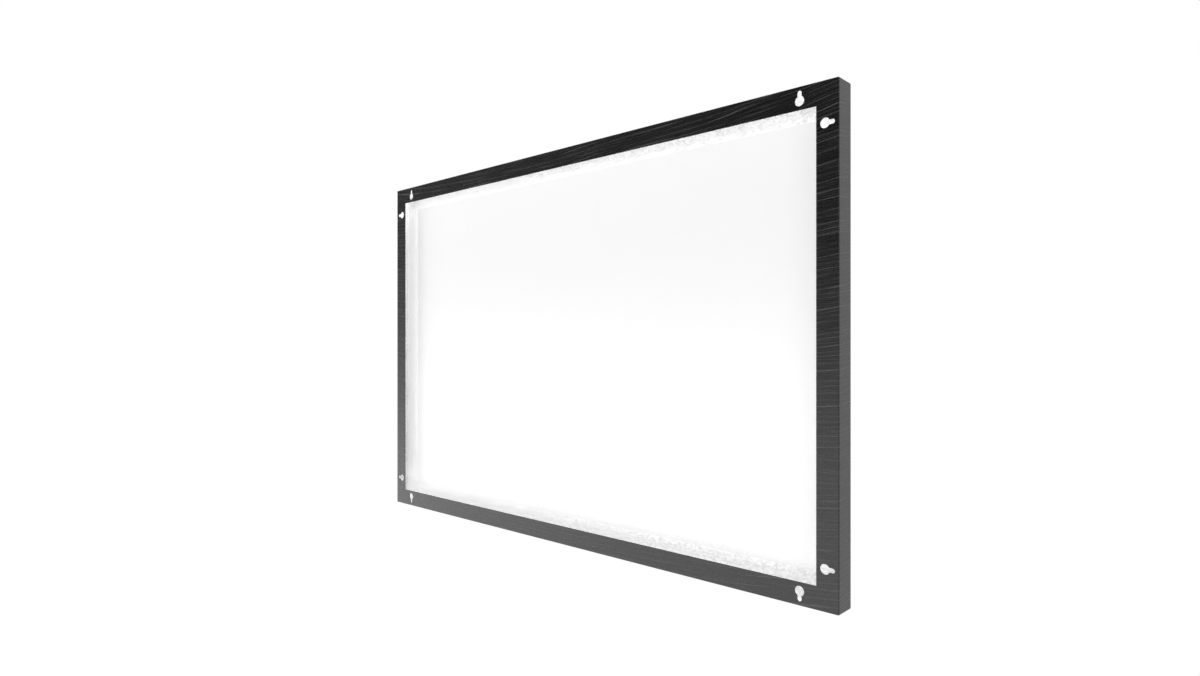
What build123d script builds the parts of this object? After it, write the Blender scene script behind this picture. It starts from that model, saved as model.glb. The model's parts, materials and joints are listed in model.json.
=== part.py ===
from build123d import *

import os

# A slim edge-lit LED panel in a one-piece folded frame, with its control box on the rear.
# Millimetres. +X is right as seen from the lit side, -Y is the lit side, +Z is up.
# The origin is the centre of the front flange's face, which is the centre of both keyhole patterns.
# PAST is how far a cutter runs past the face that it cuts.

# Whole panel
WIDTH = 900.0
HEIGHT = 600.0
THICKNESS = 30.0
SHEET = 1.2
FLANGE = 27.5
FOLD_RADIUS = 1.4
CORNER_RADIUS = 1.6
COVER_SHEET = 1.5
COVER_EDGE = 0.4
COVER_SEAM = 0.2
PAST = 1.0

# Keyholes in the flange
KEYHOLE_FROM_CORNER = 48.5
KEYHOLE_FROM_EDGE = 17.0
KEYHOLE_HEAD_RADIUS = 6.0
KEYHOLE_SLOT_RADIUS = 2.75
KEYHOLE_DROP = 9.25

# White lining, whose foot borders the lit area
LINING_SHEET = 0.8
LINING_GAP = 0.2
LINING_BEND = 1.5
LIT_INSET = 37.0
FOOT_FRONT = 21.2
FOOT_TAPER = 6.0
FOOT_LIP = 0.15

# Optical stack
DIFFUSER_SHEET = 1.5
GUIDE_SHEET = 3.0
FILM_SHEET = 0.4
STACK_OVERLAP = 11.0
FOAM_INSET = 2.0

# Light bars on the guide's long edges
CHIP_COUNT = 68
CHIP_PITCH = 12.0
CHIP_LENGTH = 3.5
CHIP_WIDTH = 2.4
CHIP_HEIGHT = 0.7
CHIP_GAP = 0.4
BOARD_SHEET = 1.0
BOARD_WIDTH = 5.8
BAR_LENGTH = 836.0
RAIL_GAP = 0.2
RAIL_WEB = 2.0
RAIL_LEG = 10.0
RAIL_LEG_SHEET = 2.0
SIDE_RAIL_GAP = 0.5
SIDE_RAIL_LEG = 5.0
SIDE_RAIL_LENGTH = 520.0

# Corner brackets, edge blocks and the cover's screws
BRACKET_LEG = 45.0
BRACKET_DEPTH = 8.0
BLOCK_LENGTH = 30.0
BLOCK_STATIONS = (-220.0, 0.0, 220.0)
COVER_SCREW_FROM_CORNER = 34.0
M4_RADIUS = 2.0
M3_RADIUS = 1.5
SCREW_CLEARANCE = 0.05
COVER_CLEARANCE = 0.2
HEAD_RADIUS_FACTOR = 1.85
HEAD_HEIGHT_FACTOR = 1.1
HEAD_EDGE_FACTOR = 0.4
HEX_SOCKET_FACTOR = 0.62
HEX_DEPTH_FACTOR = 0.7
SCREW_END_GAP = 1.0
RAIL_SCREW_STATIONS = (-390.0, -270.0, -150.0, 150.0, 270.0, 390.0)
RAIL_SCREW_STEP = 7.0
RAIL_SCREW_END_GAP = 0.3

# Beads pressed outward in the rear cover: a rounded rectangle with two dividers
BEAD_WIDTH = 12.0
BEAD_RISE = 1.5
BEAD_EDGE = 1.2
BEAD_HALF_X = 372.0
BEAD_TOP = 225.0
BEAD_BOTTOM = -150.0
BEAD_CORNER = 40.0
BEAD_DIVIDERS = (-124.0, 124.0)

# Leads
LEAD_DIAMETER = 2.4
JUMPER_OUT = 16.0
JUMPER_BEND = 6.0
FEED_X = -60.0
FEED_BEND = 4.0
FEED_NOTCH = 7.0
GROMMET_HOLE_RADIUS = 4.5
GROMMET_LIP = 1.0
GROMMET_LIP_RADIUS = 5.3

# Control box
BOX_WIDTH = 260.0
BOX_BOTTOM = -290.0
BOX_TOP = -194.0
BOX_DEPTH = 34.0
BOX_SHEET = 1.2
BOX_EDGE_RADIUS = 2.5
TRAY_GAP = 0.2
TAB_WIDTH = 12.0
TAB_HEIGHT = 14.0
TAB_HOLE_RISE = 8.4
TAB_STATIONS = (-274.0, -210.0)
RIVET_RADIUS = 2.0
RIVET_HEAD_RADIUS = 3.6
RIVET_HEAD_HEIGHT = 1.0
RIVET_TAIL_RADIUS = 2.8
RIVET_TAIL_HEIGHT = 1.1
RIVET_PLACES = ((-118.0, -262.0), (-118.0, -222.0), (118.0, -262.0), (118.0, -222.0))
VENT_LENGTH = 3.0
VENT_CORNER = 1.45
VENT_COUNT = 14
VENT_PITCH = 8.0
VENT_HALF_DEPTH = 8.0

# Driver board and what stands on it
PCB_X0, PCB_X1 = -95.0, 20.0
PCB_Z0, PCB_Z1 = -274.0, -200.0
PCB_SHEET = 1.6
STANDOFF_HEIGHT = 6.0
STANDOFF_RADIUS = 3.0
PCB_HOLE_INSET = 5.0

TERMINAL_LENGTH = 16.0
TERMINAL_DEPTH = 8.0
TERMINAL_HEIGHT = 10.0
TERMINAL_WELL_RADIUS = 1.7
TERMINAL_WELL_PITCH = 5.0
INPUT_TERMINAL_X, INPUT_TERMINAL_Z = -70.0, -206.0
TRANSFORMER_X, TRANSFORMER_Z = -30.0, -238.0
CORE_HALF_X, CORE_HALF_Z, CORE_HEIGHT = 13.0, 11.0, 19.0
CORE_LIMB = 4.5
CORE_YOKE = 3.5
COIL_GAP = 0.3
COIL_HALF_Z = 13.0
COIL_RADIUS = 1.5
MAINS_CAN = (-66.0, -226.0, 8.0, 20.0)
OUTPUT_CANS = ((2.0, -222.0, 5.0, 16.0), (2.0, -236.0, 5.0, 16.0))
CAN_EDGE = 0.8
CHOKE_X, CHOKE_Z = -68.0, -252.0
CHOKE_RING, CHOKE_SECTION = 6.5, 3.2
SINK_X, SINK_Z = -30.0, -212.0
SINK_HALF_X, SINK_HALF_SHEET, SINK_HEIGHT = 26.0, 1.5, 18.0
FIN_COUNT, FIN_PITCH, FIN_HALF_SHEET, FIN_HALF_DEPTH = 6, 9.0, 0.8, 2.0
TRANSISTOR_HALF_X, TRANSISTOR_HALF_Z, TRANSISTOR_HEIGHT = 5.0, 2.2, 15.0

# Leads inside the box
MAINS_DIAMETER = 1.8
MAINS_BENDS = (2.0, 4.0)
UNDER_BOARD = 2.4
LIVE_Z = -258.0
SWITCH_TAG_Z = -247.0
SWITCHED_Z = -197.6
EARTH_FOOT_RADIUS, EARTH_FOOT_HEIGHT = 3.0, 1.0
DIMMER_LEAD_DIAMETER = 2.0
DIMMER_BEND = 4.0

# Controls on the box's rear face
CONTROL_Z = -242.0
SWITCH_X = 96.0
SWITCH_CUT_X, SWITCH_CUT_Z = 13.0, 19.2
SWITCH_BEZEL_X, SWITCH_BEZEL_Z = 15.0, 21.0
SWITCH_BEZEL_HEIGHT = 2.0
SWITCH_DEPTH = 13.0
SWITCH_CORNER = 1.0
SWITCH_EDGE = 0.6
SWITCH_SLACK = 0.1
ROCKER_X, ROCKER_Z = 9.6, 15.0
ROCKER_SLACK_X, ROCKER_SLACK_Z = 0.4, 1.15
ROCKER_WELL_DEPTH = 7.5
ROCKER_PIVOT_DEPTH = 3.0
ROCKER_PIN_LENGTH = 1.0
ROCKER_PIN_END_GAP = 0.2
ROCKER_FOOT = -1.6
ROCKER_WAIST = 1.9
ROCKER_TIP = 4.8
ROCKER_EDGE_RADIUS = 0.5
ROCKER_HALF_TILT = 11.0
ROCKER_PIVOT_RADIUS = 1.2
DIAL_X = 52.0
DIAL_SHAFT_RADIUS = 3.0
DIAL_BUSH_RADIUS = 3.5
DIAL_BORE_CLEARANCE = 0.05
DIAL_BUSH_LENGTH = 6.0
POT_RADIUS = 8.0
POT_DEPTH = 9.0
KNOB_RADIUS = 13.0
KNOB_HEIGHT = 14.0
KNOB_LIFT = 3.5
KNOB_SKIRT = 2.5
KNOB_SKIRT_STEP = 1.5
KNOB_EDGE = 1.2
KNOB_ROOF = 3.0
KNOB_HOLLOW_RADIUS, KNOB_HOLLOW_DEPTH = 8.0, 3.0
POINTER_HALF_WIDTH, POINTER_START, POINTER_RISE = 0.7, 5.0, 0.5
KNOB_FLUTES = 24
KNOB_FLUTE_RADIUS = 0.9
DIAL_REST_ANGLE = 150.0
NUT_RADIUS, NUT_HEIGHT = 5.8, 2.0
POT_BORE_DEPTH, SHAFT_DEPTH = 3.0, 2.5

# Mains inlet on the box's left side
INLET_CUT_Y, INLET_CUT_Z = 19.8, 27.2
INLET_FLANGE_Y, INLET_FLANGE_Z = 23.0, 50.0
INLET_FLANGE_SHEET = 3.0
INLET_BODY_DEPTH = 18.0
INLET_WELL_Y, INLET_WELL_Z = 16.5, 24.0
INLET_WELL_DEPTH = 16.5
INLET_SCREW_SPACING = 40.0
INLET_PIN_STEP = 7.0
INLET_EARTH_STEP = 4.0
INLET_TAG = 7.0
INLET_PIN_TIP = 2.5
INLET_PIN_HALF_Y, INLET_PIN_HALF_Z = 1.0, 2.0
INLET_CORNER, INLET_EDGE, INLET_WELL_CORNER = 6.0, 0.6, 2.5
INLET_SLACK = 0.1
INLET_SCREW_REACH = 3.0

# Worked-out places
HALF_W = WIDTH / 2
HALF_H = HEIGHT / 2
INNER_X = HALF_W - SHEET
INNER_Z = HALF_H - SHEET
COVER_FRONT = THICKNESS - COVER_SHEET
WALL_END = COVER_FRONT - COVER_SEAM
LIT_X = HALF_W - LIT_INSET
LIT_Z = HALF_H - LIT_INSET
STACK_X = LIT_X + STACK_OVERLAP
STACK_Z = LIT_Z + STACK_OVERLAP
FOOT_BACK = FOOT_FRONT + LINING_SHEET
GUIDE_FRONT = FOOT_BACK + DIFFUSER_SHEET
FILM_FRONT = GUIDE_FRONT + GUIDE_SHEET
FOAM_FRONT = FILM_FRONT + FILM_SHEET
CHIP_Z = STACK_Z + CHIP_GAP
BOARD_Z = CHIP_Z + CHIP_HEIGHT
WEB_Z = BOARD_Z + BOARD_SHEET
LEG_Z = WEB_Z + RAIL_WEB
LEG_FRONT = COVER_FRONT - RAIL_LEG_SHEET
BAR_MID_Y = GUIDE_FRONT + GUIDE_SHEET / 2
RAIL_SCREW_Z = WEB_Z + RAIL_SCREW_STEP
BOX_X = BOX_WIDTH / 2
BOX_REAR = THICKNESS + BOX_DEPTH
BOX_INNER_REAR = BOX_REAR - BOX_SHEET
ROCKER_PIVOT_Y = BOX_REAR + SWITCH_BEZEL_HEIGHT - ROCKER_PIVOT_DEPTH
TRAY_REAR = THICKNESS + BOX_SHEET
BOX_SCREW_Y = TRAY_REAR + TAB_HOLE_RISE
PCB_FRONT = TRAY_REAR + STANDOFF_HEIGHT
PCB_REAR = PCB_FRONT + PCB_SHEET
INLET_Y = THICKNESS + BOX_DEPTH / 2
FEED_Z = -RAIL_SCREW_Z


def block(x0, x1, y0, y1, z0, z1):
    """A box given by its two limits on each axis, in either order."""
    middle = Pos((x0 + x1) / 2, (y0 + y1) / 2, (z0 + z1) / 2)
    return middle * Box(abs(x1 - x0), abs(y1 - y0), abs(z1 - z0))


def slab(half_x, half_z, y0, y1):
    """A plate centred on the panel, from y0 to y1."""
    return block(-half_x, half_x, y0, y1, -half_z, half_z)


def facing_rear(y):
    """A plane across the panel at this depth, for flat shapes centred on the panel."""
    return Plane(origin=(0, y, 0), x_dir=(1, 0, 0), z_dir=(0, 1, 0))


def rod_y(radius, y0, y1, x, z):
    """A round bar along Y."""
    return Pos(x, (y0 + y1) / 2, z) * Rot(90, 0, 0) * Cylinder(radius, y1 - y0)


def rod_x(radius, x0, x1, y, z):
    """A round bar along X."""
    return Pos((x0 + x1) / 2, y, z) * Rot(0, 90, 0) * Cylinder(radius, abs(x1 - x0))


def rod_z(radius, z0, z1, x, y):
    """A round bar along Z."""
    return Pos(x, y, (z0 + z1) / 2) * Cylinder(radius, abs(z1 - z0))


def group(solids):
    """Separate solids kept together in one node."""
    return Compound(children=[solid for shape in solids for solid in shape.solids()])


def lead(points, bends, diameter=LEAD_DIAMETER):
    """A round lead along straight runs joined by tangent arcs."""
    path = FilletPolyline(*points, radius=bends)
    return sweep(Plane(origin=path @ 0, z_dir=path % 0) * Circle(diameter / 2), path=path)


def hex_socket(radius):
    """Cutter for the socket of a screw whose head's top is the plane z = 0."""
    return extrude(RegularPolygon(HEX_SOCKET_FACTOR * radius, 6), -HEX_DEPTH_FACTOR * radius)


def socket_x(radius, top, y, z, way):
    """The socket cutter for a screw whose head faces along X, with way -1 or 1."""
    return Pos(top, y, z) * Rot(0, 90 * way, 0) * hex_socket(radius)


def screw_y(radius, seat, end, x, z):
    """A pan-head screw driven from the rear: its head sits on the plane y = seat."""
    top = seat + HEAD_HEIGHT_FACTOR * radius
    head = rod_y(HEAD_RADIUS_FACTOR * radius, seat, top, x, z)
    head = fillet(head.faces().sort_by(Axis.Y)[-1].edges(), HEAD_EDGE_FACTOR * radius)
    socket = Pos(x, top, z) * Rot(-90, 0, 0) * hex_socket(radius)
    return head + rod_y(radius, end, seat, x, z) - socket


def corners():
    """The four sign pairs of a centred rectangle."""
    return [(sx, sz) for sx in (-1, 1) for sz in (-1, 1)]


# Frame and covers


def keyhole(x, z, step_x, step_z):
    """Cutter for one keyhole: a round head, and a slot towards the panel's edge."""
    y0, y1 = -PAST, SHEET + PAST
    end_x = x + step_x * KEYHOLE_DROP
    end_z = z + step_z * KEYHOLE_DROP
    wide_x = KEYHOLE_SLOT_RADIUS * abs(step_z)
    wide_z = KEYHOLE_SLOT_RADIUS * abs(step_x)
    slot = block(min(x, end_x) - wide_x, max(x, end_x) + wide_x, y0, y1,
                 min(z, end_z) - wide_z, max(z, end_z) + wide_z)
    head = rod_y(KEYHOLE_HEAD_RADIUS, y0, y1, x, z)
    return head + slot + rod_y(KEYHOLE_SLOT_RADIUS, y0, y1, end_x, end_z)


def keyholes():
    """All eight keyhole cutters, two at each corner."""
    cutters = []
    for sx, sz in corners():
        near_x, near_z = HALF_W - KEYHOLE_FROM_CORNER, HALF_H - KEYHOLE_FROM_EDGE
        cutters.append(keyhole(sx * near_x, sz * near_z, 0, sz))
        near_x, near_z = HALF_W - KEYHOLE_FROM_EDGE, HALF_H - KEYHOLE_FROM_CORNER
        cutters.append(keyhole(sx * near_x, sz * near_z, sx, 0))
    return cutters


def front_frame():
    """One folded sheet: a flange round the opening and four side walls."""
    shell = slab(HALF_W, HALF_H, 0, WALL_END)
    shell = fillet(shell.edges().filter_by(Axis.Y), CORNER_RADIUS)
    shell = fillet(shell.faces().sort_by(Axis.Y)[0].edges(), FOLD_RADIUS)
    shell -= slab(INNER_X, INNER_Z, SHEET, THICKNESS)
    shell -= slab(HALF_W - FLANGE, HALF_H - FLANGE, -PAST, THICKNESS)
    for cutter in keyholes():
        shell -= cutter
    return shell


def white_surround():
    """The white lining: four walls inside the frame, and a foot that thins out towards the lit area."""
    outer_x = INNER_X - LINING_GAP
    outer_z = INNER_Z - LINING_GAP
    lining = slab(outer_x, outer_z, SHEET + LINING_GAP, FOOT_BACK)
    well = slab(outer_x - LINING_SHEET, outer_z - LINING_SHEET, 0, FOOT_FRONT)
    well = fillet(well.faces().sort_by(Axis.Y)[-1].edges(), LINING_BEND)
    wide = Rectangle(2 * (LIT_X + FOOT_TAPER), 2 * (LIT_Z + FOOT_TAPER))
    narrow = Rectangle(2 * LIT_X, 2 * LIT_Z)
    taper = loft([facing_rear(FOOT_FRONT) * wide, facing_rear(FOOT_BACK - FOOT_LIP) * narrow])
    return lining - well - taper - slab(LIT_X, LIT_Z, 0, THICKNESS)


def block_places():
    """Each edge block's centre on the frame's wall, and the wall's direction."""
    places = [(x, sz * (INNER_Z - BRACKET_DEPTH / 2), 0) for x in BLOCK_STATIONS for sz in (-1, 1)]
    return places + [(sx * (INNER_X - BRACKET_DEPTH / 2), 0.0, 1) for sx in (-1, 1)]


def cover_screw_places():
    """Where the rear cover's screws go: two in each corner bracket and one in each edge block."""
    places = [(x, z) for x, z, upright in block_places()]
    along = COVER_SCREW_FROM_CORNER
    in_from_wall = SHEET + BRACKET_DEPTH / 2
    for sx, sz in corners():
        places.append((sx * (HALF_W - along), sz * (HALF_H - in_from_wall)))
        places.append((sx * (HALF_W - in_from_wall), sz * (HALF_H - along)))
    return places


def tapped(shape, y0, y1):
    """The shape with a hole for each cover screw that meets it."""
    for x, z in cover_screw_places():
        shape -= rod_y(M4_RADIUS + SCREW_CLEARANCE, y0, y1, x, z)
    return shape


def corner_bracket(sx, sz):
    """An L-shaped block in one corner, tapped for two cover screws."""
    x1, z1 = sx * INNER_X, sz * INNER_Z
    level = block(x1, x1 - sx * BRACKET_LEG, FOOT_BACK, COVER_FRONT, z1, z1 - sz * BRACKET_DEPTH)
    upright = block(x1, x1 - sx * BRACKET_DEPTH, FOOT_BACK, COVER_FRONT, z1, z1 - sz * BRACKET_LEG)
    return tapped(level + upright, FOOT_BACK - PAST, THICKNESS)


def edge_blocks():
    """Tapped blocks along the frame's walls, one for each remaining cover screw."""
    blocks = []
    for x, z, upright in block_places():
        half_x = BRACKET_DEPTH / 2 if upright else BLOCK_LENGTH / 2
        half_z = BLOCK_LENGTH / 2 if upright else BRACKET_DEPTH / 2
        piece = block(x - half_x, x + half_x, FOOT_BACK, COVER_FRONT, z - half_z, z + half_z)
        blocks.append(piece - rod_y(M4_RADIUS + SCREW_CLEARANCE, FOOT_BACK - PAST, THICKNESS, x, z))
    return group(blocks)


def cover_screws():
    """The screws round the rear cover's edge."""
    end = FOOT_BACK + SCREW_END_GAP
    return group(screw_y(M4_RADIUS, THICKNESS, end, x, z) for x, z in cover_screw_places())


def rail_screw_places():
    """Where screws through the rear cover hold the two heat rails."""
    return [(x, sz * RAIL_SCREW_Z) for x in RAIL_SCREW_STATIONS for sz in (-1, 1)]


def beads(width, y0, y1):
    """Bars of this width along the middle of every bead, from y0 to y1."""
    middle_z = (BEAD_TOP + BEAD_BOTTOM) / 2
    half_z = (BEAD_TOP - BEAD_BOTTOM) / 2
    side = width / 2
    outer = slab(BEAD_HALF_X + side, half_z + side, y0, y1)
    inner = slab(BEAD_HALF_X - side, half_z - side, y0 - PAST, y1 + PAST)
    ring = fillet(outer.edges().filter_by(Axis.Y), BEAD_CORNER + side)
    ring -= fillet(inner.edges().filter_by(Axis.Y), BEAD_CORNER - side)
    for x in BEAD_DIVIDERS:
        ring += block(x - side, x + side, y0, y1, -half_z, half_z)
    return Pos(0, 0, middle_z) * ring


def rear_cover():
    """The rear plate, flush with the frame's outer faces, with beads pressed in it for stiffness."""
    plate = slab(HALF_W, HALF_H, COVER_FRONT, THICKNESS)
    plate = fillet(plate.edges().filter_by(Axis.Y), CORNER_RADIUS)
    plate = chamfer(plate.faces().sort_by(Axis.Y)[-1].edges(), COVER_EDGE)
    raised = beads(BEAD_WIDTH, THICKNESS - COVER_EDGE, THICKNESS + BEAD_RISE)
    plate += fillet(raised.faces().sort_by(Axis.Y)[-1].edges(), BEAD_EDGE)
    y0, y1 = COVER_FRONT - PAST, THICKNESS + PAST
    plate -= beads(BEAD_WIDTH - 2 * COVER_SHEET, y0, THICKNESS + BEAD_RISE - COVER_SHEET)
    for x, z in cover_screw_places():
        plate -= rod_y(M4_RADIUS + COVER_CLEARANCE, y0, y1, x, z)
    for x, z in rail_screw_places():
        plate -= rod_y(M3_RADIUS + COVER_CLEARANCE, y0, y1, x, z)
    for x, z in RIVET_PLACES:
        plate -= rod_y(RIVET_RADIUS + SCREW_CLEARANCE, y0, y1, x, z)
    return plate - rod_y(GROMMET_HOLE_RADIUS, y0, y1, FEED_X, FEED_Z)


# Optical stack


def foam_pad():
    """The pad that presses the stack forward, cleared round the tray's rivets."""
    pad = slab(STACK_X - FOAM_INSET, STACK_Z - FOAM_INSET, FOAM_FRONT, COVER_FRONT)
    for x, z in RIVET_PLACES:
        pad -= rod_y(RIVET_HEAD_RADIUS, FOAM_FRONT - PAST, THICKNESS, x, z)
    return pad


def heat_rail(sz):
    """An aluminium angle behind one light bar; the lower one is notched for the feed lead."""
    half = BAR_LENGTH / 2
    web = block(-half, half, FOOT_BACK + RAIL_GAP, COVER_FRONT, sz * WEB_Z, sz * LEG_Z)
    leg = block(-half, half, LEG_FRONT, COVER_FRONT, sz * LEG_Z, sz * (LEG_Z + RAIL_LEG))
    rail = web + leg
    for x in RAIL_SCREW_STATIONS:
        rail -= rod_y(M3_RADIUS + SCREW_CLEARANCE, LEG_FRONT - PAST, THICKNESS, x, sz * RAIL_SCREW_Z)
    if sz < 0:
        wide = FEED_NOTCH
        rail -= block(FEED_X - wide, FEED_X + wide, LEG_FRONT - PAST, THICKNESS,
                      -LEG_Z, -(LEG_Z + RAIL_LEG + PAST))
        narrow = LEAD_DIAMETER
        rail -= block(FEED_X - narrow, FEED_X + narrow, FOOT_BACK, LEG_FRONT,
                      -(WEB_Z - PAST), -(LEG_Z + PAST))
    return rail


def led_board(sz):
    """The narrow circuit board that one row of chips sits on."""
    half = BAR_LENGTH / 2
    y0, y1 = BAR_MID_Y - BOARD_WIDTH / 2, BAR_MID_Y + BOARD_WIDTH / 2
    return block(-half, half, y0, y1, sz * BOARD_Z, sz * WEB_Z)


def led_chips(sz):
    """One row of light emitters facing the guide's edge."""
    chips = []
    for i in range(CHIP_COUNT):
        x = (i - (CHIP_COUNT - 1) / 2) * CHIP_PITCH
        chips.append(block(x - CHIP_LENGTH / 2, x + CHIP_LENGTH / 2,
                           BAR_MID_Y - CHIP_WIDTH / 2, BAR_MID_Y + CHIP_WIDTH / 2,
                           sz * CHIP_Z, sz * BOARD_Z))
    return group(chips)


def side_rail(sx):
    """A plastic angle that centres the guide between the frame's sides."""
    near = STACK_X + SIDE_RAIL_GAP
    far = near + RAIL_WEB
    half = SIDE_RAIL_LENGTH / 2
    web = block(sx * near, sx * far, FOOT_BACK, COVER_FRONT, -half, half)
    leg = block(sx * far, sx * (far + SIDE_RAIL_LEG), LEG_FRONT, COVER_FRONT, -half, half)
    return web + leg


def rail_screws():
    """The screws that hold the heat rails against the rear cover."""
    end = LEG_FRONT + RAIL_SCREW_END_GAP
    return group(screw_y(M3_RADIUS, THICKNESS, end, x, z) for x, z in rail_screw_places())


def jumper_lead():
    """The lead that carries power from the lower bar to the upper one, down the right-hand channel."""
    end_x = BAR_LENGTH / 2
    run_x = end_x + JUMPER_OUT
    z = (BOARD_Z + WEB_Z) / 2
    route = [(end_x, BAR_MID_Y, z), (run_x, BAR_MID_Y, z), (run_x, BAR_MID_Y, -z), (end_x, BAR_MID_Y, -z)]
    return lead(route, [JUMPER_BEND, JUMPER_BEND])


def feed_lead():
    """The lead from the driver's output, through the grommet, to the lower light bar."""
    y = BAR_MID_Y
    rise = PCB_REAR + TERMINAL_HEIGHT / 2
    route = [(FEED_X, y, -WEB_Z), (FEED_X, y, FEED_Z), (FEED_X, rise, FEED_Z), (FEED_X, rise, PCB_Z0)]
    return lead(route, [FEED_BEND, FEED_BEND])


def cable_grommet():
    """A rubber ring in the rear cover's cable hole, with a lip on the box's side."""
    ring = rod_y(GROMMET_HOLE_RADIUS, COVER_FRONT, THICKNESS, FEED_X, FEED_Z)
    lip = rod_y(GROMMET_LIP_RADIUS, TRAY_REAR, TRAY_REAR + GROMMET_LIP, FEED_X, FEED_Z)
    neck = rod_y(GROMMET_HOLE_RADIUS, THICKNESS, TRAY_REAR, FEED_X, FEED_Z)
    bore = rod_y(LEAD_DIAMETER / 2 + SCREW_CLEARANCE, LEG_FRONT, PCB_REAR, FEED_X, FEED_Z)
    return ring + neck + lip - bore


# Control box


def driver_tray():
    """The box's base plate, with four upturned tabs for the housing's screws."""
    edge_x = BOX_X - BOX_SHEET - TRAY_GAP
    edge_z = BOX_SHEET + TRAY_GAP
    tray = block(-edge_x, edge_x, THICKNESS, TRAY_REAR, BOX_BOTTOM + edge_z, BOX_TOP - edge_z)
    tray = fillet(tray.edges().filter_by(Axis.Y), BOX_EDGE_RADIUS)
    for sx in (-1, 1):
        for z in TAB_STATIONS:
            tray += block(sx * edge_x, sx * (edge_x - BOX_SHEET), THICKNESS, TRAY_REAR + TAB_HEIGHT,
                          z - TAB_WIDTH / 2, z + TAB_WIDTH / 2)
    tray -= box_screw_holes(M3_RADIUS + SCREW_CLEARANCE)
    y0, y1 = THICKNESS - PAST, TRAY_REAR + PAST
    for x, z in RIVET_PLACES:
        tray -= rod_y(RIVET_RADIUS + SCREW_CLEARANCE, y0, y1, x, z)
    for x, z in pcb_hole_places():
        tray -= rod_y(M3_RADIUS + SCREW_CLEARANCE, y0, y1, x, z)
    return tray - rod_y(GROMMET_HOLE_RADIUS, y0, y1, FEED_X, FEED_Z)


def box_screw_holes(radius):
    """Cutters for the housing's side screws, through wall and tab."""
    reach = 2 * (BOX_SHEET + TRAY_GAP)
    holes = []
    for sx in (-1, 1):
        for z in TAB_STATIONS:
            holes.append(rod_x(radius, sx * (BOX_X - reach), sx * (BOX_X + reach), BOX_SCREW_Y, z))
    return holes


def housing_screws():
    """Pan-head screws through the housing's sides into the tray's tabs."""
    screws = []
    y = BOX_SCREW_Y
    inner = BOX_X - 2 * BOX_SHEET - TRAY_GAP
    top = BOX_X + HEAD_HEIGHT_FACTOR * M3_RADIUS
    for sx in (-1, 1):
        for z in TAB_STATIONS:
            head = rod_x(HEAD_RADIUS_FACTOR * M3_RADIUS, sx * BOX_X, sx * top, y, z)
            outer_face = head.faces().sort_by(Axis.X)[-1 if sx > 0 else 0]
            head = fillet(outer_face.edges(), HEAD_EDGE_FACTOR * M3_RADIUS)
            shank = rod_x(M3_RADIUS, sx * inner, sx * BOX_X, y, z)
            screws.append(head + shank - socket_x(M3_RADIUS, sx * top, y, z, sx))
    return group(screws)


def vents():
    """Cutters for the slots in the housing's top and bottom walls."""
    middle_y = THICKNESS + BOX_DEPTH / 2
    cutters = []
    for i in range(VENT_COUNT):
        x = (i - (VENT_COUNT - 1) / 2) * VENT_PITCH
        for z in (BOX_BOTTOM, BOX_TOP):
            slot = block(x - VENT_LENGTH / 2, x + VENT_LENGTH / 2, middle_y - VENT_HALF_DEPTH,
                         middle_y + VENT_HALF_DEPTH, z - 2 * BOX_SHEET, z + 2 * BOX_SHEET)
            cutters.append(fillet(slot.edges().filter_by(Axis.Z), VENT_CORNER))
    return cutters


def driver_housing():
    """The folded cover of the control box, open towards the panel."""
    shell = block(-BOX_X, BOX_X, THICKNESS, BOX_REAR, BOX_BOTTOM, BOX_TOP)
    shell = fillet(shell.edges().filter_by(Axis.Y), BOX_EDGE_RADIUS)
    shell = fillet(shell.faces().sort_by(Axis.Y)[-1].edges(), BOX_EDGE_RADIUS)
    well = block(-BOX_X + BOX_SHEET, BOX_X - BOX_SHEET, THICKNESS - PAST, BOX_INNER_REAR,
                 BOX_BOTTOM + BOX_SHEET, BOX_TOP - BOX_SHEET)
    shell -= fillet(well.edges().filter_by(Axis.Y), BOX_EDGE_RADIUS - BOX_SHEET)
    shell -= vents()
    shell -= box_screw_holes(M3_RADIUS + COVER_CLEARANCE)
    y0, y1 = BOX_INNER_REAR - PAST, BOX_REAR + PAST
    shell -= block(SWITCH_X - SWITCH_CUT_X / 2, SWITCH_X + SWITCH_CUT_X / 2, y0, y1,
                   CONTROL_Z - SWITCH_CUT_Z / 2, CONTROL_Z + SWITCH_CUT_Z / 2)
    shell -= rod_y(DIAL_BUSH_RADIUS + SCREW_CLEARANCE, y0, y1, DIAL_X, CONTROL_Z)
    x0, x1 = -BOX_X - PAST, -BOX_X + BOX_SHEET + PAST
    shell -= inlet_block(x0, x1, INLET_CUT_Y, INLET_CUT_Z)
    for z in inlet_screw_places():
        shell -= rod_x(M3_RADIUS + SCREW_CLEARANCE, x0, x1, INLET_Y, z)
    return shell


def tray_rivets():
    """Blind rivets that hold the tray on the rear cover."""
    rivets = []
    for x, z in RIVET_PLACES:
        body = rod_y(RIVET_RADIUS, COVER_FRONT - RIVET_TAIL_HEIGHT, TRAY_REAR, x, z)
        head = rod_y(RIVET_HEAD_RADIUS, TRAY_REAR, TRAY_REAR + RIVET_HEAD_HEIGHT, x, z)
        tail = rod_y(RIVET_TAIL_RADIUS, COVER_FRONT - RIVET_TAIL_HEIGHT, COVER_FRONT, x, z)
        rivets.append(body + head + tail)
    return group(rivets)


def pcb_hole_places():
    """The driver board's four mounting holes."""
    xs = (PCB_X0 + PCB_HOLE_INSET, PCB_X1 - PCB_HOLE_INSET)
    zs = (PCB_Z0 + PCB_HOLE_INSET, PCB_Z1 - PCB_HOLE_INSET)
    return [(x, z) for x in xs for z in zs]


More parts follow.
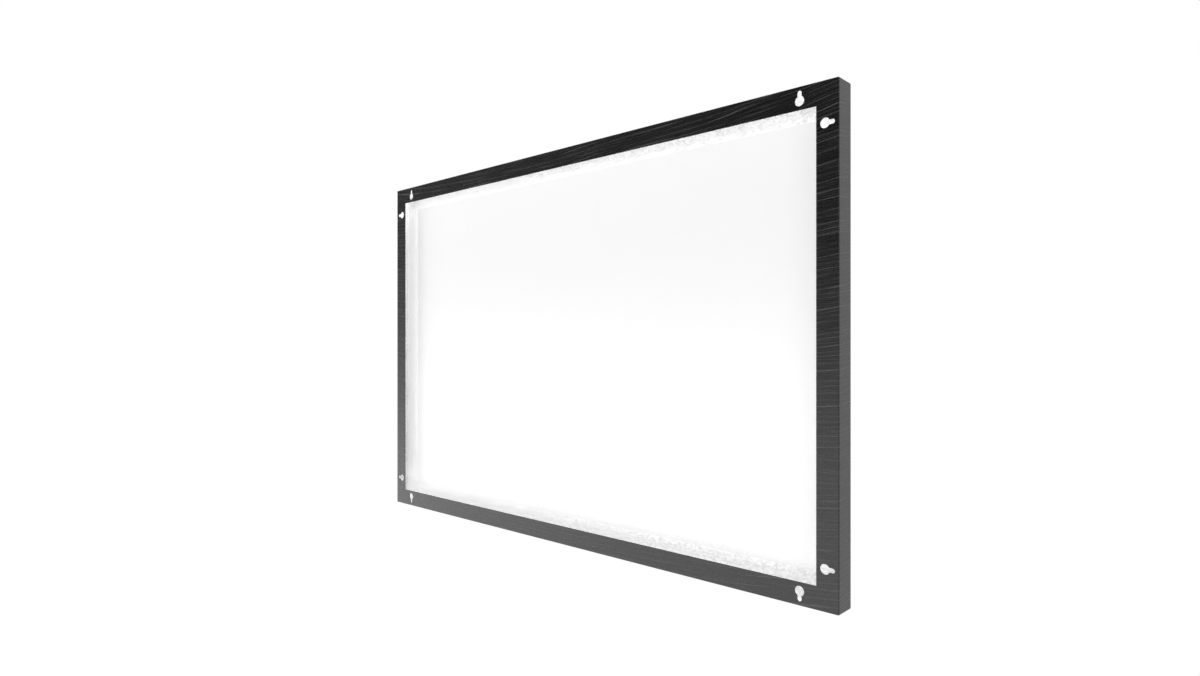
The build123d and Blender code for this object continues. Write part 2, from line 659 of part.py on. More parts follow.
def pcb_standoffs():
    """Tapped posts between the tray and the driver board."""
    posts = []
    for x, z in pcb_hole_places():
        post = rod_y(STANDOFF_RADIUS, TRAY_REAR, PCB_FRONT, x, z)
        posts.append(post - rod_y(M3_RADIUS + SCREW_CLEARANCE, THICKNESS, PCB_REAR, x, z))
    return group(posts)


def pcb_screws():
    """The screws that hold the board on its posts and the posts on the tray."""
    return group(screw_y(M3_RADIUS, PCB_REAR, TRAY_REAR, x, z) for x, z in pcb_hole_places())


def driver_pcb():
    """The driver's circuit board."""
    board = block(PCB_X0, PCB_X1, PCB_FRONT, PCB_REAR, PCB_Z0, PCB_Z1)
    for x, z in pcb_hole_places():
        board -= rod_y(M3_RADIUS + SCREW_CLEARANCE, PCB_FRONT - PAST, PCB_REAR + PAST, x, z)
    return board


def on_board(x, z, half_x, half_z, height, lift=0.0):
    """A block standing on the driver board."""
    y = PCB_REAR + lift
    return block(x - half_x, x + half_x, y, y + height, z - half_z, z + half_z)


def transformer_core():
    """The ferrite core: two side limbs joined by yokes, with the middle left to the winding."""
    core = on_board(TRANSFORMER_X, TRANSFORMER_Z, CORE_HALF_X, CORE_HALF_Z, CORE_HEIGHT)
    window_height = CORE_HEIGHT - 2 * CORE_YOKE
    return core - on_board(TRANSFORMER_X, TRANSFORMER_Z, CORE_HALF_X - CORE_LIMB, CORE_HALF_Z + PAST,
                           window_height, CORE_YOKE)


def transformer_winding():
    """The wound bobbin inside the core's window."""
    height = CORE_HEIGHT - 2 * CORE_YOKE - 2 * COIL_GAP
    coil = on_board(TRANSFORMER_X, TRANSFORMER_Z, CORE_HALF_X - CORE_LIMB - COIL_GAP, COIL_HALF_Z,
                    height, CORE_YOKE + COIL_GAP)
    return fillet(coil.edges().filter_by(Axis.X), COIL_RADIUS)


def can(x, z, radius, height):
    """A round capacitor standing on the board."""
    body = rod_y(radius, PCB_REAR, PCB_REAR + height, x, z)
    return fillet(body.faces().sort_by(Axis.Y)[-1].edges(), CAN_EDGE)


def output_capacitors():
    """Two round capacitors at the board's right edge."""
    return group(can(*size) for size in OUTPUT_CANS)


def filter_choke():
    """A toroidal choke standing on edge."""
    lift = CHOKE_RING + CHOKE_SECTION
    return Pos(CHOKE_X, PCB_REAR + lift, CHOKE_Z) * Rot(0, 90, 0) * Torus(CHOKE_RING, CHOKE_SECTION)


def heat_sink():
    """A finned plate beside the power transistor."""
    sink = on_board(SINK_X, SINK_Z, SINK_HALF_X, SINK_HALF_SHEET, SINK_HEIGHT)
    fin_z = SINK_Z + SINK_HALF_SHEET + FIN_HALF_DEPTH
    for i in range(FIN_COUNT):
        fin_x = SINK_X + (i - (FIN_COUNT - 1) / 2) * FIN_PITCH
        sink += on_board(fin_x, fin_z, FIN_HALF_SHEET, FIN_HALF_DEPTH, SINK_HEIGHT)
    return sink


def power_transistor():
    """The transistor that stands against the heat sink."""
    z = SINK_Z - SINK_HALF_SHEET - TRANSISTOR_HALF_Z
    return on_board(SINK_X, z, TRANSISTOR_HALF_X, TRANSISTOR_HALF_Z, TRANSISTOR_HEIGHT)


def terminal(x, z):
    """A screw terminal block with three wells."""
    body = on_board(x, z, TERMINAL_LENGTH / 2, TERMINAL_DEPTH / 2, TERMINAL_HEIGHT)
    top = PCB_REAR + TERMINAL_HEIGHT
    for i in (-1, 0, 1):
        well_x = x + i * TERMINAL_WELL_PITCH
        body -= rod_y(TERMINAL_WELL_RADIUS, top - TERMINAL_HEIGHT / 2, top + PAST, well_x, z)
    return body


def inlet_pin_places():
    """Live, earth and neutral; the earth pin stands off the line of the other two."""
    y = INLET_Y + INLET_EARTH_STEP / 2
    below, above = CONTROL_Z - INLET_PIN_STEP, CONTROL_Z + INLET_PIN_STEP
    return [(y, below), (y - INLET_EARTH_STEP, CONTROL_Z), (y, above)]


def inlet_block(x0, x1, size_y, size_z, corner=0.0):
    """A block centred on the inlet, with rounded corners if a radius is given."""
    shape = block(x0, x1, INLET_Y - size_y / 2, INLET_Y + size_y / 2,
                  CONTROL_Z - size_z / 2, CONTROL_Z + size_z / 2)
    return fillet(shape.edges().filter_by(Axis.X), corner) if corner else shape


def pin_blocks(x0, x1):
    """The three flat pins, from x0 to x1."""
    half_y, half_z = INLET_PIN_HALF_Y, INLET_PIN_HALF_Z
    return [block(x0, x1, y - half_y, y + half_y, z - half_z, z + half_z) for y, z in inlet_pin_places()]


def inlet_screw_places():
    """The heights of the inlet's two screws."""
    return [CONTROL_Z + sz * INLET_SCREW_SPACING / 2 for sz in (-1, 1)]


def inlet_body():
    """The mains inlet: a flange outside the box's side, and a moulded well for the connector."""
    face = -BOX_X - INLET_FLANGE_SHEET
    flange = inlet_block(face, -BOX_X, INLET_FLANGE_Y, INLET_FLANGE_Z, INLET_CORNER)
    flange = fillet(flange.faces().sort_by(Axis.X)[0].edges(), INLET_EDGE)
    body = inlet_block(-BOX_X, -BOX_X + INLET_BODY_DEPTH, INLET_CUT_Y - 2 * INLET_SLACK,
                       INLET_CUT_Z - 2 * INLET_SLACK)
    inlet = flange + body
    inlet -= inlet_block(face - PAST, face + INLET_WELL_DEPTH, INLET_WELL_Y, INLET_WELL_Z, INLET_WELL_CORNER)
    for z in inlet_screw_places():
        inlet -= rod_x(M3_RADIUS + SCREW_CLEARANCE, face - PAST, -BOX_X + PAST, INLET_Y, z)
    inlet -= pin_blocks(face, -BOX_X + 2 * INLET_BODY_DEPTH)
    return inlet


def inlet_pins():
    """Flat pins that run from the well through the body to the tags inside the box."""
    tip = -BOX_X - INLET_FLANGE_SHEET + INLET_PIN_TIP
    return group(pin_blocks(tip, -BOX_X + INLET_BODY_DEPTH + INLET_TAG))


def inlet_screws():
    """Two pan-head screws through the inlet's flange and the housing's side."""
    screws = []
    seat = -BOX_X - INLET_FLANGE_SHEET
    top = seat - HEAD_HEIGHT_FACTOR * M3_RADIUS
    for z in inlet_screw_places():
        head = rod_x(HEAD_RADIUS_FACTOR * M3_RADIUS, top, seat, INLET_Y, z)
        head = fillet(head.faces().sort_by(Axis.X)[0].edges(), HEAD_EDGE_FACTOR * M3_RADIUS)
        shank = rod_x(M3_RADIUS, seat, -BOX_X + INLET_SCREW_REACH, INLET_Y, z)
        screws.append(head + shank - socket_x(M3_RADIUS, top, INLET_Y, z, -1))
    return group(screws)


def mains_leads():
    """Neutral to the driver, live to the switch, from there back above the board, and earth to the tray."""
    tag_x = -BOX_X + INLET_BODY_DEPTH + INLET_TAG
    (y, z_live), (y_earth, z_earth), (_, z_neutral) = inlet_pin_places()
    drop_x = (tag_x + PCB_X0) / 2
    block_y = PCB_REAR + TERMINAL_HEIGHT / 2
    side = INPUT_TERMINAL_X - TERMINAL_LENGTH / 2
    top = INPUT_TERMINAL_Z + TERMINAL_DEPTH / 2
    neutral = [(tag_x, y, z_neutral), (drop_x, y, z_neutral), (drop_x, block_y, INPUT_TERMINAL_Z),
               (side, block_y, INPUT_TERMINAL_Z)]
    under_y = TRAY_REAR + UNDER_BOARD
    switch_y = BOX_INNER_REAR - SWITCH_DEPTH
    live = [(tag_x, y, z_live), (drop_x, y, z_live), (drop_x, under_y, LIVE_Z), (SWITCH_X, under_y, LIVE_Z),
            (SWITCH_X, under_y, SWITCH_TAG_Z), (SWITCH_X, switch_y, SWITCH_TAG_Z)]
    upper_tag_z = 2 * CONTROL_Z - SWITCH_TAG_Z
    switched = [(SWITCH_X, switch_y, upper_tag_z), (SWITCH_X, block_y, upper_tag_z),
                (SWITCH_X, block_y, SWITCHED_Z), (INPUT_TERMINAL_X, block_y, SWITCHED_Z),
                (INPUT_TERMINAL_X, block_y, top)]
    foot_top = TRAY_REAR + EARTH_FOOT_HEIGHT
    earth = [(tag_x, y_earth, z_earth), (drop_x, y_earth, z_earth), (drop_x, foot_top, z_earth)]
    foot = rod_y(EARTH_FOOT_RADIUS, TRAY_REAR, foot_top, drop_x, z_earth)
    tight, easy = MAINS_BENDS
    return group([lead(neutral, [tight, easy], MAINS_DIAMETER),
                  lead(live, [tight, easy, easy, easy], MAINS_DIAMETER),
                  lead(switched, [easy, easy, tight], MAINS_DIAMETER),
                  lead(earth, [tight], MAINS_DIAMETER) + foot])


def dimmer_lead():
    """The control lead from the potentiometer to the driver board's right edge."""
    y = BOX_INNER_REAR - POT_DEPTH
    board_y = (PCB_FRONT + PCB_REAR) / 2
    route = [(DIAL_X, y, CONTROL_Z), (DIAL_X, board_y, CONTROL_Z), (PCB_X1, board_y, CONTROL_Z)]
    return lead(route, [DIMMER_BEND], DIMMER_LEAD_DIAMETER)


def switch_body():
    """The rocker switch's case: bezel outside, and a well that the rocker tips in."""
    y0 = BOX_INNER_REAR - SWITCH_DEPTH
    bezel_top = BOX_REAR + SWITCH_BEZEL_HEIGHT
    bezel = block(SWITCH_X - SWITCH_BEZEL_X / 2, SWITCH_X + SWITCH_BEZEL_X / 2, BOX_REAR, bezel_top,
                  CONTROL_Z - SWITCH_BEZEL_Z / 2, CONTROL_Z + SWITCH_BEZEL_Z / 2)
    bezel = fillet(bezel.edges().filter_by(Axis.Y), SWITCH_CORNER)
    bezel = fillet(bezel.faces().sort_by(Axis.Y)[-1].edges(), SWITCH_EDGE)
    case_x = SWITCH_CUT_X / 2 - SWITCH_SLACK
    case_z = SWITCH_CUT_Z / 2 - SWITCH_SLACK
    case = block(SWITCH_X - case_x, SWITCH_X + case_x, y0, BOX_REAR, CONTROL_Z - case_z, CONTROL_Z + case_z)
    half_x = ROCKER_X / 2 + ROCKER_SLACK_X
    half_z = ROCKER_Z / 2 + ROCKER_SLACK_Z
    well = block(SWITCH_X - half_x, SWITCH_X + half_x, bezel_top - ROCKER_WELL_DEPTH, bezel_top + PAST,
                 CONTROL_Z - half_z, CONTROL_Z + half_z)
    bore_end = ROCKER_X / 2 + ROCKER_PIN_LENGTH + ROCKER_PIN_END_GAP
    bore = rod_x(ROCKER_PIVOT_RADIUS + SCREW_CLEARANCE, SWITCH_X - bore_end, SWITCH_X + bore_end,
                 ROCKER_PIVOT_Y, CONTROL_Z)
    return bezel + case - well - bore


def power_rocker():
    """The rocker with its two faces and pivot pins, tipped to its off stop."""
    half = ROCKER_Z / 2
    outline = Polyline((ROCKER_FOOT, -half), (ROCKER_FOOT, half), (ROCKER_TIP, half),
                       (ROCKER_WAIST, 0), (ROCKER_TIP, -half), close=True)
    rocker = extrude(Plane.YZ * make_face(outline), ROCKER_X / 2, both=True)
    rocker = fillet(rocker.edges().filter_by(Axis.X), ROCKER_EDGE_RADIUS)
    pin_end = ROCKER_X / 2 + ROCKER_PIN_LENGTH
    rocker += rod_x(ROCKER_PIVOT_RADIUS, -pin_end, pin_end, 0, 0)
    return Pos(SWITCH_X, ROCKER_PIVOT_Y, CONTROL_Z) * Rot(ROCKER_HALF_TILT, 0, 0) * rocker


def dimmer_pot():
    """The potentiometer's case and threaded bush."""
    case = rod_y(POT_RADIUS, BOX_INNER_REAR - POT_DEPTH, BOX_INNER_REAR, DIAL_X, CONTROL_Z)
    bush_end = BOX_INNER_REAR + DIAL_BUSH_LENGTH
    bush = rod_y(DIAL_BUSH_RADIUS, BOX_INNER_REAR, bush_end, DIAL_X, CONTROL_Z)
    bore_radius = DIAL_SHAFT_RADIUS + DIAL_BORE_CLEARANCE
    bore = rod_y(bore_radius, BOX_INNER_REAR - POT_BORE_DEPTH, bush_end + PAST, DIAL_X, CONTROL_Z)
    return case + bush - bore


def pot_nut():
    """The hexagon nut that clamps the potentiometer to the box."""
    nut = Rot(-90, 0, 0) * extrude(RegularPolygon(NUT_RADIUS, 6), NUT_HEIGHT)
    bore = rod_y(DIAL_BUSH_RADIUS + SCREW_CLEARANCE, -PAST, NUT_HEIGHT + PAST, 0, 0)
    return Pos(DIAL_X, BOX_REAR, CONTROL_Z) * (nut - bore)


def dimmer_shaft():
    """The potentiometer's shaft, which the knob is pressed on."""
    end = BOX_REAR + KNOB_LIFT + KNOB_HEIGHT - KNOB_ROOF
    return rod_y(DIAL_SHAFT_RADIUS, BOX_INNER_REAR - SHAFT_DEPTH, end, DIAL_X, CONTROL_Z)


def dimmer_knob():
    """A fluted knob with a skirt, a raised pointer and a hollow for the nut."""
    y0 = BOX_REAR + KNOB_LIFT
    top = y0 + KNOB_HEIGHT
    knob = rod_y(KNOB_RADIUS, y0 + KNOB_SKIRT, top, 0, 0)
    knob = fillet(knob.faces().sort_by(Axis.Y)[-1].edges(), KNOB_EDGE)
    skirt = rod_y(KNOB_RADIUS + KNOB_SKIRT_STEP, y0, y0 + KNOB_SKIRT, 0, 0)
    knob += chamfer(skirt.faces().sort_by(Axis.Y)[-1].edges(), KNOB_EDGE / 2)
    flute = rod_y(KNOB_FLUTE_RADIUS, y0 + KNOB_SKIRT, top + PAST, 0, KNOB_RADIUS)
    knob -= [Rot(0, 360 / KNOB_FLUTES * i, 0) * flute for i in range(KNOB_FLUTES)]
    pointer = block(-POINTER_HALF_WIDTH, POINTER_HALF_WIDTH, top - POINTER_RISE, top + POINTER_RISE,
                    POINTER_START, KNOB_RADIUS - 2 * KNOB_EDGE)
    knob += Rot(0, DIAL_REST_ANGLE, 0) * pointer
    knob -= rod_y(KNOB_HOLLOW_RADIUS, y0 - PAST, y0 + KNOB_HOLLOW_DEPTH, 0, 0)
    knob -= rod_y(DIAL_SHAFT_RADIUS, y0 - PAST, top - KNOB_ROOF, 0, 0)
    return Pos(DIAL_X, 0, CONTROL_Z) * knob


PIECES = {
    "front_frame": front_frame,
    "white_surround": white_surround,
    "diffuser": lambda: slab(STACK_X, STACK_Z, FOOT_BACK, GUIDE_FRONT),
    "light_guide": lambda: slab(STACK_X, STACK_Z, GUIDE_FRONT, FILM_FRONT),
    "reflector_film": lambda: slab(STACK_X, STACK_Z, FILM_FRONT, FOAM_FRONT),
    "foam_pad": foam_pad,
    "heat_rail_top": lambda: heat_rail(1),
    "heat_rail_bottom": lambda: heat_rail(-1),
    "led_board_top": lambda: led_board(1),
    "led_board_bottom": lambda: led_board(-1),
    "leds_top": lambda: led_chips(1),
    "leds_bottom": lambda: led_chips(-1),
    "side_rail_left": lambda: side_rail(-1),
    "side_rail_right": lambda: side_rail(1),
    "corner_bracket_bottom_left": lambda: corner_bracket(-1, -1),
    "corner_bracket_bottom_right": lambda: corner_bracket(1, -1),
    "corner_bracket_top_left": lambda: corner_bracket(-1, 1),
    "corner_bracket_top_right": lambda: corner_bracket(1, 1),
    "edge_blocks": edge_blocks,
    "rear_cover": rear_cover,
    "cover_screws": cover_screws,
    "rail_screws": rail_screws,
    "jumper_lead": jumper_lead,
    "feed_lead": feed_lead,
    "cable_grommet": cable_grommet,
    "driver_tray": driver_tray,
    "tray_rivets": tray_rivets,
    "driver_housing": driver_housing,
    "housing_screws": housing_screws,
    "pcb_standoffs": pcb_standoffs,
    "pcb_screws": pcb_screws,
    "driver_pcb": driver_pcb,
    "transformer_core": transformer_core,
    "transformer_winding": transformer_winding,
    "mains_capacitor": lambda: can(*MAINS_CAN),
    "output_capacitors": output_capacitors,
    "filter_choke": filter_choke,
    "heat_sink": heat_sink,
    "power_transistor": power_transistor,
    "input_terminal": lambda: terminal(INPUT_TERMINAL_X, INPUT_TERMINAL_Z),
    "output_terminal": lambda: terminal(FEED_X, PCB_Z0 + TERMINAL_DEPTH / 2),
    "inlet_body": inlet_body,
    "inlet_pins": inlet_pins,
    "inlet_screws": inlet_screws,
    "mains_leads": mains_leads,
    "dimmer_lead": dimmer_lead,
    "switch_body": switch_body,
    "power_rocker": power_rocker,
    "dimmer_pot": dimmer_pot,
    "pot_nut": pot_nut,
    "dimmer_shaft": dimmer_shaft,
    "dimmer_knob": dimmer_knob,
}

os.makedirs("parts", exist_ok=True)
for name, make in PIECES.items():
    export_step(make(), f"parts/{name}.step")
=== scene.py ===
import json
import math

import bmesh
import bpy
from mathutils import Matrix, Vector


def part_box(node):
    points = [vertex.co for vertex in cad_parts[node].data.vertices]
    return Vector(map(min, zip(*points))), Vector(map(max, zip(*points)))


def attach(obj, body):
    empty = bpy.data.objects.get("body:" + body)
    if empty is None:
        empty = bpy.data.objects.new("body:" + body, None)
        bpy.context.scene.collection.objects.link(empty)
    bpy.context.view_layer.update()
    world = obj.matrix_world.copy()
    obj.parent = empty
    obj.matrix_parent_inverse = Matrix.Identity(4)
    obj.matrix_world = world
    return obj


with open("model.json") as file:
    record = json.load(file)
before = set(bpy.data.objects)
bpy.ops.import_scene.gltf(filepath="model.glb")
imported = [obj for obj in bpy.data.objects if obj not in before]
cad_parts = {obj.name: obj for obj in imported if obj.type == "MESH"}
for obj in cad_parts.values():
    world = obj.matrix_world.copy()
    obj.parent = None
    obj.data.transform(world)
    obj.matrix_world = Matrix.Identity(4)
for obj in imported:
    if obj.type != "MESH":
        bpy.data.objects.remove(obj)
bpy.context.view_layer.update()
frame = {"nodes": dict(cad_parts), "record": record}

# Camera: level, off the panel's right-hand side
CAMERA_PLACE = (0.8147, -0.7792, -0.0009)
CAMERA_TURN = math.radians(42.44)
CAMERA_LENS = 22.18
CAMERA_SHIFT = (-0.0067, 0.0074)

# Floor, the light overhead, and two lamps as place, target, diameter and power
FLOOR_Z = -1.0
FLOOR_HALF = 15.0
FLOOR_BACK = 1.2
FLOOR_GREY = 0.9
FLOOR_ROUGH = 0.9
SUN_STRENGTH = 3.5
SUN_ANGLE = math.radians(20)
FLOOR_LAMP = ((-4.5, -2.3, 1.7), (-4.5, -2.3, FLOOR_Z), 3.0, 100.0)
REAR_LAMP = ((-1.6, 2.6, 1.9), (0.0, 0.0, -0.05), 1.2, 45.0)

# World strengths
DARK_AHEAD = 0.045
DARK_ASIDE = 0.25
BRIGHT_BELOW = 1.0
PALE_BEHIND = 0.82
PLAIN_BACKDROP = 1.0

# World directions: X from wholly aside to wholly ahead, and Y from wholly ahead to wholly behind
DARK_X = (-0.85, -0.3)
HORIZON_X = (-0.85, -0.45)
BEHIND_Y = (-0.1, 0.35)

# The soft horizon, whose middle is higher and whose spread is narrower aside
HORIZON_LIFT = 0.045
HORIZON_SPREAD = 0.16
HORIZON_NARROWING = 0.07

# Which of the Mix node's sockets carry numbers and which carry colours
NUMBER_A, NUMBER_B, NUMBER_OUT = 2, 3, 0
COLOUR_A, COLOUR_B, COLOUR_OUT = 6, 7, 2

# Below, four numbers in a row are a range and the values at its two ends, and a bump is strength and distance

# The values that a noise texture mostly gives, widely and narrowly taken
NOISE_WIDE = (0.3, 0.7)
NOISE_NARROW = (0.35, 0.65)

# Frame: its gloss, where its normal leaves the axes at a fold, and the normal of its level walls
FRAME_SPECULAR = 0.63
FOLD_NORMAL = (0.8, 0.96)
FOLD_ROUGH = 0.4
LEVEL_NORMAL = 0.7

# Frame grain: how it bends, in metres
GRAIN_CURVE, GRAIN_SLOPE = 0.11, 0.016
SWAY_SCALE, SWAY = 6.0, 0.007
RIPPLE_SCALE, RIPPLE_STRETCH, RIPPLE_LAYER, RIPPLE = 30.0, 2.0, 0.5, 0.0012

# Frame grain: noise drawn out along it, as scale along, scale across, layer and detail
JITTER_STREAKS = (5.0, 60.0, 2.0, 1.0)
FADE_STREAKS = (12.0, 130.0, 3.0, 1.0)
FINE_STREAKS = (60.0, 1100.0, 7.0, 2.0)

# Frame grain: lines to the metre, their unevenness, and their width as a share of their spacing
STRANDS = (150.0, 2.2, 0.09)
THIN_STRANDS = (390.0, 6.0, 0.2)
THIN_STRENGTH = 0.4
FADED, UNFADED = 0.1, 1.0

# Frame grain: colours, roughness and relief
FINE_SHADES = (0.3, 0.75)
GRAIN_DARK = (0.003, 0.003, 0.0032, 1.0)
GRAIN_PALE = (0.008, 0.008, 0.0083, 1.0)
GRAIN_LINE = (0.075, 0.075, 0.076, 1.0)
FINE_ROUGH = (0.2, 0.8, 0.22, 0.3)
LINE_ROUGH = 0.2
FINE_RELIEF = 0.3
GRAIN_BUMP = (0.12, 0.0002)

# Coats: two noises, how much each shades the colour, and how the pebbles vary roughness and relief
PEBBLE_NOISE = (3.0, 0.6)
CLOUD_NOISE = (7.0, 2.0)
PEBBLE_SHADE, CLOUD_SHADE = 0.8, 0.2
COAT_SMOOTHER, COAT_ROUGHER = 0.06, 0.08
COAT_BUMP = 0.35

# Metals: the noise of their drawing marks, and how the marks vary colour, roughness and relief
METAL_NOISE = (150.0, 3.0, 0.6)
METAL_DARKER, METAL_PALER = 0.8, 1.1
METAL_SMOOTHER, METAL_ROUGHER = 0.08, 0.1
METAL_BUMP = (0.15, 0.00005)

# Opal face: its glow by distance from the sides (its own falloff and painted shade), a painted shadow by the
# sill, and painted shade by height as a share of the lining's
OPAL_GREY = 0.6
OPAL_STRENGTH = 0.6
OPAL_SIDES = (0.01, 0.045, 0.94, 1.0)
OPAL_SILL_SHADOW = (0.0, 0.05, 1.02, 0.9)
OPAL_MIDDLE = 0.4
OPAL_LOW, OPAL_HIGH = 1.0, 0.84
HAZE_NOISE = (460.0, 1.0)
HAZE_LEVELS = (0.97, 1.0)
OPAL_NOISE = (2600.0, 2.0, 0.6)
OPAL_ROUGH = (0.5, 0.62)
OPAL_BUMP = (0.1, 0.00003)

# Lining: from its outside to the lit area, and the strength of its painted glow
LIT_BORDER = 0.0356
PAINTED_LINING_GLOW = 0.75

# Lining's painted glow, standing in for light and shade, by height, in shares of the lining's half height
UPPER_BAND = (0.85, 0.93)
LOWER_BAND = 0.7
LOWER_LEVEL = 0.94
WALL_BAND = (0.6, 0.95)
WALL_LEVELS = (0.6, 1.2)
BEHIND_LEVELS = (0.82, 1.1)

# Lining's painted glow, standing in for light and shade, by reach, the distance in from its outside, in
# metres or in shares of the border
EDGE_SHARES = (0.2, 0.8)
EDGE_LEVELS = (0.68, 0.75)
ABOVE_LEVELS = (0.64, 0.3)
WALL_REACH = (0.0008, 0.003)
BEHIND_SHARE = 0.5
FOOT_SHARES = (0.82, 0.9)
FOOT_LEVELS = (1.0, 0.93)

# Lining: painted shade by the lower right corner
CORNER_X = (0.35, 0.43)
CORNER_Z = (-0.25, -0.1)
CORNER_SHADE = 0.82

# Lining: its mottling and its skin
MOTTLE_NOISE = (340.0, 1.0)
MOTTLE_SPAN = (0.38, 0.62)
MOTTLE_GLOW = 0.84
MOTTLE_GREYS = (0.62, 0.88)
LINING_NOISE = (900.0, 2.0)
LINING_ROUGH = (0.45, 0.6)
LINING_BUMP = (0.12, 0.00004)

# Marks on the controls
MARK_WHITE = (0.8, 0.8, 0.8, 1.0)
POINTER_PAINT = 0.0003
DOT_DROP = 0.0035
DOT_RADIUS = 0.0009
TICKS = 11
TICK_SWEEP = math.radians(300)
TICK_FROM, TICK_TO = 0.0168, 0.0195
TICK_HALF_WIDTH = 0.0003
TICK_LIFT, TICK_SKIN = 0.00002, 0.00008


def make_camera():
    data = bpy.data.cameras.new("camera")
    data.lens = CAMERA_LENS
    data.shift_x, data.shift_y = CAMERA_SHIFT
    camera = bpy.data.objects.new("camera", data)
    camera.location = CAMERA_PLACE
    camera.rotation_euler = (math.pi / 2, 0, CAMERA_TURN)
    bpy.context.collection.objects.link(camera)
    bpy.context.scene.camera = camera


# Small helpers for building node trees


class Tree:
    """A node tree with short names for the nodes used here."""

    def __init__(self, nodes, links):
        self.nodes = nodes
        self.links = links

    def add(self, kind, inputs=(), **settings):
        """A node of this kind, with its settings, and its inputs as (name or number, value or socket)."""
        node = self.nodes.new(kind)
        for key, value in settings.items():
            setattr(node, key, value)
        for key, value in inputs:
            self.put(node.inputs[key], value)
        return node

    def put(self, socket, value):
        if isinstance(value, bpy.types.NodeSocket):
            self.links.new(value, socket)
        else:
            socket.default_value = value

    def math(self, operation, a, b=0.0):
        return self.add("ShaderNodeMath", [(0, a), (1, b)], operation=operation).outputs[0]

    def plus(self, a, b):
        return self.math("ADD", a, b)

    def minus(self, a, b):
        return self.math("SUBTRACT", a, b)

    def times(self, a, b):
        return self.math("MULTIPLY", a, b)

    def size(self, a):
        return self.math("ABSOLUTE", a)

    def range(self, value, low, high, to_low=0.0, to_high=1.0, smooth=True):
        kind = "SMOOTHSTEP" if smooth else "LINEAR"
        ends = [("From Min", low), ("From Max", high), ("To Min", to_low), ("To Max", to_high)]
        node = self.add("ShaderNodeMapRange", [("Value", value)] + ends, interpolation_type=kind)
        return node.outputs["Result"]

    def blend(self, factor, a, b):
        """From number a to number b."""
        inputs = [("Factor", factor), (NUMBER_A, a), (NUMBER_B, b)]
        return self.add("ShaderNodeMix", inputs, data_type="FLOAT").outputs[NUMBER_OUT]

    def mix(self, factor, a, b):
        """From colour a to colour b."""
        inputs = [("Factor", factor), (COLOUR_A, a), (COLOUR_B, b)]
        return self.add("ShaderNodeMix", inputs, data_type="RGBA").outputs[COLOUR_OUT]

    def split(self, vector):
        return self.add("ShaderNodeSeparateXYZ", [(0, vector)]).outputs

    def join(self, x, y, z):
        return self.add("ShaderNodeCombineXYZ", [(0, x), (1, y), (2, z)]).outputs[0]

    def noise(self, vector, scale, detail=2.0, roughness=0.5):
        inputs = [("Vector", vector), ("Scale", scale), ("Detail", detail), ("Roughness", roughness)]
        return self.add("ShaderNodeTexNoise", inputs).outputs["Fac"]

    def place(self):
        return self.add("ShaderNodeTexCoord").outputs["Object"]

    def bump(self, height, strength, distance):
        inputs = [("Height", height), ("Strength", strength), ("Distance", distance)]
        return self.add("ShaderNodeBump", inputs).outputs["Normal"]


def grey(value):
    return (value, value, value, 1.0)


def new_material(name, **plain):
    """A material with one Principled shader, and the inputs that are the same all over it."""
    material = bpy.data.materials.new(name)
    material.use_nodes = True
    tree = Tree(material.node_tree.nodes, material.node_tree.links)
    tree.nodes.clear()
    shader = tree.add("ShaderNodeBsdfPrincipled")
    output = tree.add("ShaderNodeOutputMaterial")
    tree.links.new(shader.outputs[0], output.inputs[0])
    for key, value in plain.items():
        shader.inputs[key.replace("_", " ")].default_value = value
    return material, tree, shader


# Studio


def make_world():
    """Pale all round, with a darker ceiling in front of the lit face for its frame to reflect."""
    world = bpy.data.worlds.new("studio")
    bpy.context.scene.world = world
    world.use_nodes = True
    tree = Tree(world.node_tree.nodes, world.node_tree.links)
    tree.nodes.clear()
    direction = tree.add("ShaderNodeTexCoord").outputs["Generated"]
    x, y, z = tree.split(direction)
    above = tree.range(x, *DARK_X, DARK_ASIDE, DARK_AHEAD)
    aside = tree.range(x, *HORIZON_X, 1.0, 0.0)
    lift = tree.times(aside, HORIZON_LIFT)
    spread = tree.minus(HORIZON_SPREAD, tree.times(aside, HORIZON_NARROWING))
    height = tree.math("DIVIDE", tree.minus(z, lift), spread)
    ahead = tree.range(height, -1.0, 1.0, BRIGHT_BELOW, above)
    level = tree.blend(tree.range(y, *BEHIND_Y), ahead, PALE_BEHIND)
    seen = tree.add("ShaderNodeLightPath").outputs["Is Camera Ray"]
    strength = tree.blend(seen, level, PLAIN_BACKDROP)
    background = tree.add("ShaderNodeBackground", [("Color", grey(1.0)), ("Strength", strength)])
    output = tree.add("ShaderNodeOutputWorld")
    tree.links.new(background.outputs[0], output.inputs[0])


def soft_light(name, place, target, size, power, mirrored=True):
    """A round area light aimed at a point, which gloss may or may not mirror."""
    light = bpy.data.lights.new(name, "AREA")
    light.shape = "DISK"
    light.size = size
    light.energy = power
    lamp = bpy.data.objects.new(name, light)
    lamp.location = place
    lamp.rotation_euler = (Vector(target) - Vector(place)).to_track_quat("-Z", "Y").to_euler()
    lamp.visible_glossy = mirrored
    bpy.context.collection.objects.link(lamp)


